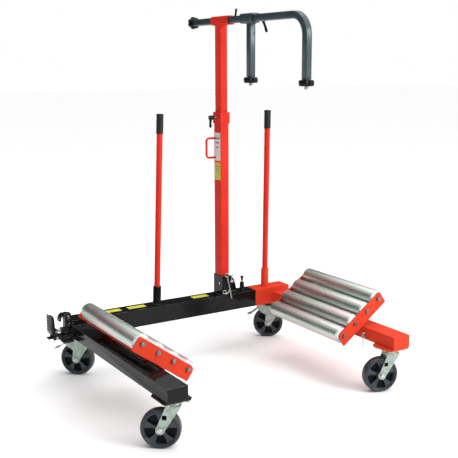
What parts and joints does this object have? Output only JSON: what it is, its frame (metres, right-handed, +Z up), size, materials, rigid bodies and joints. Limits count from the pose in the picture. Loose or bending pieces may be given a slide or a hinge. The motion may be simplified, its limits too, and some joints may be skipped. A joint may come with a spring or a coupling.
{
  "type": "wheel dolly",
  "caption": "Wheel dolly on swivel casters with two tilted roller cradles, a sliding leg, a foot pump and a mast with a hooked support bar.",
  "frame": {"origin": "on the floor, under the middle of the outline of the whole dolly at rest, with the sliding leg closed", "axes": "+X along the cross tube towards the sliding leg, the legs and the support bar point towards -Y, +Z up"},
  "size_m": [1.2918, 1.165, 1.6068],
  "materials": {
    "black_paint": "gloss",
    "orange_paint": "gloss",
    "zinc": "satin",
    "roller_zinc": "brushed",
    "bar_paint": "satin",
    "black_plastic": "satin",
    "wheel_plastic": "satin",
    "steel": "machined",
    "bush_plastic": "satin",
    "grip_rubber": "matte"
  },
  "bodies": {
    "frame": {"main_frame": "black_paint", "ram_cylinder": "steel", "cradle_left": "orange_paint", "roller_axles_left": "zinc", "roller_bushes_left": "bush_plastic", "mast_lower": "orange_paint", "mast_pin": "zinc", "plunger_body": "black_plastic", "pump_bracket": "black_paint", "pump_block": "black_paint", "caster_plates_left": "zinc"},
    "slide": {"slide_frame": "orange_paint", "slide_tube": "steel", "ram_rod": "steel", "cradle_right": "orange_paint", "roller_axles_right": "zinc", "roller_bushes_right": "bush_plastic", "caster_plates_right": "zinc", "leg_pin": "zinc"},
    "mast_top": {"mast_upper": "orange_paint"},
    "mast_lock": {"mast_clamp": "black_plastic"},
    "bar": {"support_bar": "bar_paint"},
    "bar_end_knob": {"bar_knob": "black_plastic"},
    "bar_foot": {"bar_cup": "black_plastic"},
    "arm": {"short_arm": "bar_paint"},
    "arm_foot": {"arm_cup": "black_plastic"},
    "bar_lock": {"bar_clamp": "black_plastic"},
    "arm_lock": {"arm_clamp": "black_plastic"},
    "plunger": {"plunger_pin": "black_plastic"},
    "left_pole": {"pole_left": "orange_paint", "grip_left": "grip_rubber"},
    "right_pole": {"pole_right": "orange_paint", "grip_right": "grip_rubber"},
    "piston": {"pump_piston": "zinc"},
    "pedal": {"foot_pedal": "black_paint"},
    "release": {"release_lever": "black_paint"},
    "left_brake": {"brake_left": "zinc"},
    "right_brake": {"brake_right": "zinc"},
    "roller_l1": {"roller_l1": "roller_zinc"},
    "roller_l2": {"roller_l2": "roller_zinc"},
    "roller_l3": {"roller_l3": "roller_zinc"},
    "roller_l4": {"roller_l4": "roller_zinc"},
    "roller_r1": {"roller_r1": "roller_zinc"},
    "roller_r2": {"roller_r2": "roller_zinc"},
    "roller_r3": {"roller_r3": "roller_zinc"},
    "roller_r4": {"roller_r4": "roller_zinc"},
    "fork_fl": {"caster_fork_fl": "zinc", "caster_axle_fl": "zinc"},
    "wheel_fl": {"caster_wheel_fl": "wheel_plastic"},
    "fork_rl": {"caster_fork_rl": "zinc", "caster_axle_rl": "zinc"},
    "wheel_rl": {"caster_wheel_rl": "wheel_plastic"},
    "fork_fr": {"caster_fork_fr": "zinc", "caster_axle_fr": "zinc"},
    "wheel_fr": {"caster_wheel_fr": "wheel_plastic"},
    "fork_rr": {"caster_fork_rr": "zinc", "caster_axle_rr": "zinc"},
    "wheel_rr": {"caster_wheel_rr": "wheel_plastic"}
  },
  "joints": [
    {"name": "leg_slide", "type": "slide", "parent": "frame", "child": "slide", "axis": [1, 0, 0], "range_m": [0, 0.3]},
    {"name": "roller_l1_spin", "type": "hinge", "parent": "frame", "child": "roller_l1", "pos_m": [-0.52988, -0.1345, 0.36056], "axis": [0, 1, 0], "continuous": true},
    {"name": "roller_l2_spin", "type": "hinge", "parent": "frame", "child": "roller_l2", "pos_m": [-0.46743, -0.1345, 0.31552], "axis": [0, 1, 0], "continuous": true},
    {"name": "roller_l3_spin", "type": "hinge", "parent": "frame", "child": "roller_l3", "pos_m": [-0.40497, -0.1345, 0.27048], "axis": [0, 1, 0], "continuous": true},
    {"name": "roller_l4_spin", "type": "hinge", "parent": "frame", "child": "roller_l4", "pos_m": [-0.34252, -0.1345, 0.22544], "axis": [0, 1, 0], "continuous": true},
    {"name": "roller_r1_spin", "type": "hinge", "parent": "slide", "child": "roller_r1", "pos_m": [0.60208, -0.1345, 0.36056], "axis": [0, 1, 0], "continuous": true},
    {"name": "roller_r2_spin", "type": "hinge", "parent": "slide", "child": "roller_r2", "pos_m": [0.53963, -0.1345, 0.31552], "axis": [0, 1, 0], "continuous": true},
    {"name": "roller_r3_spin", "type": "hinge", "parent": "slide", "child": "roller_r3", "pos_m": [0.47717, -0.1345, 0.27048], "axis": [0, 1, 0], "continuous": true},
    {"name": "roller_r4_spin", "type": "hinge", "parent": "slide", "child": "roller_r4", "pos_m": [0.41472, -0.1345, 0.22544], "axis": [0, 1, 0], "continuous": true},
    {"name": "mast_slide", "type": "slide", "parent": "frame", "child": "mast_top", "axis": [0, 0, 1], "range_m": [0, 0.35]},
    {"name": "mast_clamp_turn", "type": "hinge", "parent": "frame", "child": "mast_lock", "pos_m": [0.2451, 0.3215, 1.118], "axis": [1, 0, 0], "range_deg": [-90, 90]},
    {"name": "bar_slide", "type": "slide", "parent": "mast_top", "child": "bar", "axis": [0, 1, 0], "range_m": [-0.13, 0.02]},
    {"name": "bar_knob_turn", "type": "hinge", "parent": "bar", "child": "bar_end_knob", "pos_m": [0.2451, 0.5695, 1.553], "axis": [0, 1, 0], "continuous": true},
    {"name": "bar_cup_turn", "type": "hinge", "parent": "bar", "child": "bar_foot", "pos_m": [0.2451, -0.3255, 1.28], "axis": [0, 0, 1], "continuous": true},
    {"name": "arm_slide", "type": "slide", "parent": "bar", "child": "arm", "axis": [0, 1, 0], "range_m": [-0.24, 0.035]},
    {"name": "arm_cup_turn", "type": "hinge", "parent": "arm", "child": "arm_foot", "pos_m": [0.2451, 0.0745, 1.29], "axis": [0, 0, 1], "continuous": true},
    {"name": "bar_clamp_turn", "type": "hinge", "parent": "mast_top", "child": "bar_lock", "pos_m": [0.2451, 0.2755, 1.553], "axis": [1, 0, 0], "range_deg": [-90, 90]},
    {"name": "arm_clamp_turn", "type": "hinge", "parent": "arm", "child": "arm_lock", "pos_m": [0.2451, 0.0505, 1.553], "axis": [1, 0, 0], "range_deg": [-90, 90]},
    {"name": "plunger_pull", "type": "slide", "parent": "frame", "child": "plunger", "axis": [0, 0, 1], "range_m": [0, 0.012], "stiffness_N_per_m": 500, "springref_m": -0.008},
    {"name": "left_pole_lift", "type": "slide", "parent": "frame", "child": "left_pole", "axis": [0.0384, 0, 0.9993], "range_m": [0, 0.08]},
    {"name": "right_pole_lift", "type": "slide", "parent": "slide", "child": "right_pole", "axis": [0.014, 0, 0.9999], "range_m": [0, 0.08]},
    {"name": "pedal_press", "type": "hinge", "parent": "frame", "child": "pedal", "pos_m": [-0.6119, 0.2945, 0.212], "axis": [0, -1, 0], "range_deg": [0, 35], "stiffness_Nm_per_rad": 2, "springref_deg": -11.46},
    {"name": "piston_stroke", "type": "slide", "parent": "frame", "child": "piston", "axis": [-1, 0, 0], "range_m": [0, 0.0158]},
    {"name": "release_press", "type": "hinge", "parent": "frame", "child": "release", "pos_m": [-0.5554, 0.2945, 0.298], "axis": [0, -1, 0], "range_deg": [0, 15], "stiffness_Nm_per_rad": 1, "springref_deg": -5.73},
    {"name": "swivel_fl", "type": "hinge", "parent": "frame", "child": "fork_fl", "pos_m": [-0.4824, -0.5235, 0.17], "axis": [0, 0, 1], "continuous": true},
    {"name": "wheel_spin_fl", "type": "hinge", "parent": "fork_fl", "child": "wheel_fl", "pos_m": [-0.51719, -0.49822, 0.075], "axis": [0.5878, 0.809, 0], "continuous": true},
    {"name": "swivel_rl", "type": "hinge", "parent": "frame", "child": "fork_rl", "pos_m": [-0.4534, 0.3335, 0.17], "axis": [0, 0, 1], "continuous": true},
    {"name": "wheel_spin_rl", "type": "hinge", "parent": "fork_rl", "child": "wheel_rl", "pos_m": [-0.48433, 0.36337, 0.075], "axis": [0.6947, 0.7193, 0], "continuous": true},
    {"name": "brake_press_rl", "type": "hinge", "parent": "fork_rl", "child": "left_brake", "pos_m": [-0.5167, 0.39463, 0.153], "axis": [-0.6947, -0.7193, 0], "range_deg": [0, 8]},
    {"name": "swivel_fr", "type": "hinge", "parent": "slide", "child": "fork_fr", "pos_m": [0.5546, -0.5235, 0.17], "axis": [0, 0, 1], "continuous": true},
    {"name": "wheel_spin_fr", "type": "hinge", "parent": "fork_fr", "child": "wheel_fr", "pos_m": [0.5137, -0.51021, 0.075], "axis": [0.309, 0.9511, 0], "continuous": true},
    {"name": "swivel_rr", "type": "hinge", "parent": "slide", "child": "fork_rr", "pos_m": [0.5761, 0.3335, 0.17], "axis": [0, 0, 1], "continuous": true},
    {"name": "wheel_spin_rr", "type": "hinge", "parent": "fork_rr", "child": "wheel_rr", "pos_m": [0.54004, 0.35692, 0.075], "axis": [0.5446, 0.8387, 0], "continuous": true},
    {"name": "brake_press_rr", "type": "hinge", "parent": "fork_rr", "child": "right_brake", "pos_m": [0.5023, 0.38143, 0.153], "axis": [-0.5446, -0.8387, 0], "range_deg": [0, 8]}
  ],
  "couplings": [
    {"joint": "piston_stroke", "follows": "pedal_press", "m_per_rad": 0.0258}
  ]
}
